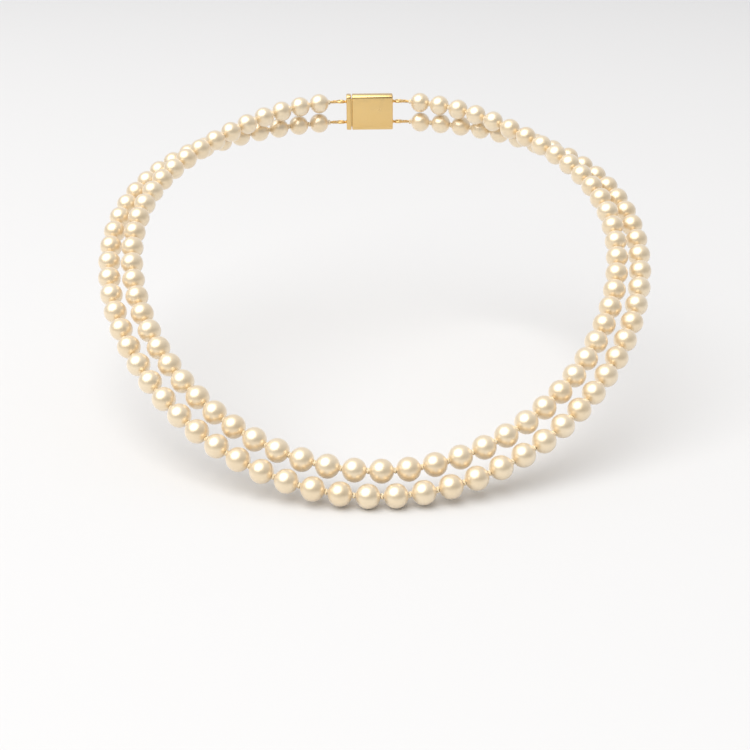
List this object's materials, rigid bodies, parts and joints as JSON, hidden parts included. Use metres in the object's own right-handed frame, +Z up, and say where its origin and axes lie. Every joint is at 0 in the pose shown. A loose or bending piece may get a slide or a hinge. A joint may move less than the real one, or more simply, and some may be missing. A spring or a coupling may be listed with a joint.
{
  "type": "pearl necklace",
  "caption": "Collar of nested rows of round cream pearls, knotted on silk thread, that opens at a sprung box clasp on the nape to go round a neck.",
  "frame": {"origin": "on the axis of the neck that wears it, halfway up the sloping loop", "axes": "+Z up; the front of the necklace is towards -Y and the clasp towards +Y; +X is to the right seen from the front"},
  "size_m": [0.1626, 0.1641, 0.0761],
  "materials": {
    "pearl": "smooth cream pearl lustre",
    "silk": "twisted silk thread, cream gold",
    "gimp": "fine coiled wire, satin gold tone",
    "gold": "polished gold tone"
  },
  "bodies": {
    "front": {"outer_front_run": "pearl", "inner_front_run": "pearl"},
    "right_rows_1": {"outer_right_run_1": "pearl", "inner_right_run_1": "pearl"},
    "right_rows_2": {"outer_right_run_2": "pearl", "inner_right_run_2": "pearl"},
    "right_rows_3": {"outer_right_run_3": "pearl", "inner_right_run_3": "pearl"},
    "right_rows_4": {"outer_right_run_4": "pearl", "inner_right_run_4": "pearl"},
    "right_rows_5": {"outer_right_run_5": "pearl", "inner_right_run_5": "pearl"},
    "right_rows_6": {"outer_right_run_6": "pearl", "inner_right_run_6": "pearl", "right_lower_gimp_loop": "gimp", "right_upper_gimp_loop": "gimp"},
    "left_rows_1": {"outer_left_run_1": "pearl", "inner_left_run_1": "pearl"},
    "left_rows_2": {"outer_left_run_2": "pearl", "inner_left_run_2": "pearl"},
    "left_rows_3": {"outer_left_run_3": "pearl", "inner_left_run_3": "pearl"},
    "left_rows_4": {"outer_left_run_4": "pearl", "inner_left_run_4": "pearl"},
    "left_rows_5": {"outer_left_run_5": "pearl", "inner_left_run_5": "pearl"},
    "left_rows_6": {"outer_left_run_6": "pearl", "inner_left_run_6": "pearl", "left_lower_gimp_loop": "gimp", "left_upper_gimp_loop": "gimp"},
    "case": {"clasp_case": "gold", "clasp_cover": "gold", "right_lower_ring": "gold", "right_upper_ring": "gold"},
    "tongue": {"tongue_end_bar": "gold", "tongue_base": "gold", "left_lower_ring": "gold", "left_upper_ring": "gold"},
    "spring": {"spring_leaf": "gold"}
  },
  "joints": [
    {"name": "right_bend_1", "type": "hinge", "parent": "front", "child": "right_rows_1", "pos_m": [0.02768, -0.0731, -0.0331], "axis": [0, 0, -1], "range_deg": [0, 8]},
    {"name": "right_bend_2", "type": "hinge", "parent": "right_rows_1", "child": "right_rows_2", "pos_m": [0.05539, -0.05408, -0.02165], "axis": [0, 0, -1], "range_deg": [0, 8]},
    {"name": "right_bend_3", "type": "hinge", "parent": "right_rows_2", "child": "right_rows_3", "pos_m": [0.07261, -0.02665, -0.00687], "axis": [0, 0, -1], "range_deg": [0, 8]},
    {"name": "right_bend_4", "type": "hinge", "parent": "right_rows_3", "child": "right_rows_4", "pos_m": [0.07801, 0.00551, 0.0074], "axis": [0, 0, -1], "range_deg": [0, 8]},
    {"name": "right_bend_5", "type": "hinge", "parent": "right_rows_4", "child": "right_rows_5", "pos_m": [0.06942, 0.03823, 0.01818], "axis": [0, 0, -1], "range_deg": [0, 8]},
    {"name": "right_bend_6", "type": "hinge", "parent": "right_rows_5", "child": "right_rows_6", "pos_m": [0.04652, 0.06463, 0.02415], "axis": [0, 0, -1], "range_deg": [0, 8]},
    {"name": "right_ring_pivot", "type": "hinge", "parent": "right_rows_6", "child": "case", "pos_m": [0.0112, 0.07849, 0.02989], "axis": [0, 0, 1], "range_deg": [0, 48]},
    {"name": "left_bend_1", "type": "hinge", "parent": "front", "child": "left_rows_1", "pos_m": [-0.02768, -0.0731, -0.0331], "axis": [0, 0, 1], "range_deg": [0, 8]},
    {"name": "left_bend_2", "type": "hinge", "parent": "left_rows_1", "child": "left_rows_2", "pos_m": [-0.05539, -0.05408, -0.02165], "axis": [0, 0, 1], "range_deg": [0, 8]},
    {"name": "left_bend_3", "type": "hinge", "parent": "left_rows_2", "child": "left_rows_3", "pos_m": [-0.07261, -0.02665, -0.00687], "axis": [0, 0, 1], "range_deg": [0, 8]},
    {"name": "left_bend_4", "type": "hinge", "parent": "left_rows_3", "child": "left_rows_4", "pos_m": [-0.07801, 0.00551, 0.0074], "axis": [0, 0, 1], "range_deg": [0, 8]},
    {"name": "left_bend_5", "type": "hinge", "parent": "left_rows_4", "child": "left_rows_5", "pos_m": [-0.06942, 0.03823, 0.01818], "axis": [0, 0, 1], "range_deg": [0, 8]},
    {"name": "left_bend_6", "type": "hinge", "parent": "left_rows_5", "child": "left_rows_6", "pos_m": [-0.04652, 0.06463, 0.02415], "axis": [0, 0, 1], "range_deg": [0, 8]},
    {"name": "left_ring_pivot", "type": "hinge", "parent": "left_rows_6", "child": "tongue", "pos_m": [-0.0112, 0.07849, 0.02989], "axis": [0, 0, -1], "range_deg": [0, 48]},
    {"name": "catch_press", "type": "hinge", "parent": "tongue", "child": "spring", "pos_m": [0.0047, 0.07814, 0.02989], "axis": [0, 0, 1], "range_deg": [0, 6], "stiffness_Nm_per_rad": 0.3}
  ],
  "couplings": [
    {"joint": "right_bend_2", "follows": "right_bend_1", "ratio": 1},
    {"joint": "right_bend_3", "follows": "right_bend_1", "ratio": 1},
    {"joint": "right_bend_4", "follows": "right_bend_1", "ratio": 1},
    {"joint": "right_bend_5", "follows": "right_bend_1", "ratio": 1},
    {"joint": "right_bend_6", "follows": "right_bend_1", "ratio": 1},
    {"joint": "right_ring_pivot", "follows": "right_bend_1", "ratio": 6},
    {"joint": "left_bend_1", "follows": "right_bend_1", "ratio": 1},
    {"joint": "left_bend_2", "follows": "right_bend_1", "ratio": 1},
    {"joint": "left_bend_3", "follows": "right_bend_1", "ratio": 1},
    {"joint": "left_bend_4", "follows": "right_bend_1", "ratio": 1},
    {"joint": "left_bend_5", "follows": "right_bend_1", "ratio": 1},
    {"joint": "left_bend_6", "follows": "right_bend_1", "ratio": 1},
    {"joint": "left_ring_pivot", "follows": "right_bend_1", "ratio": 6}
  ]
}
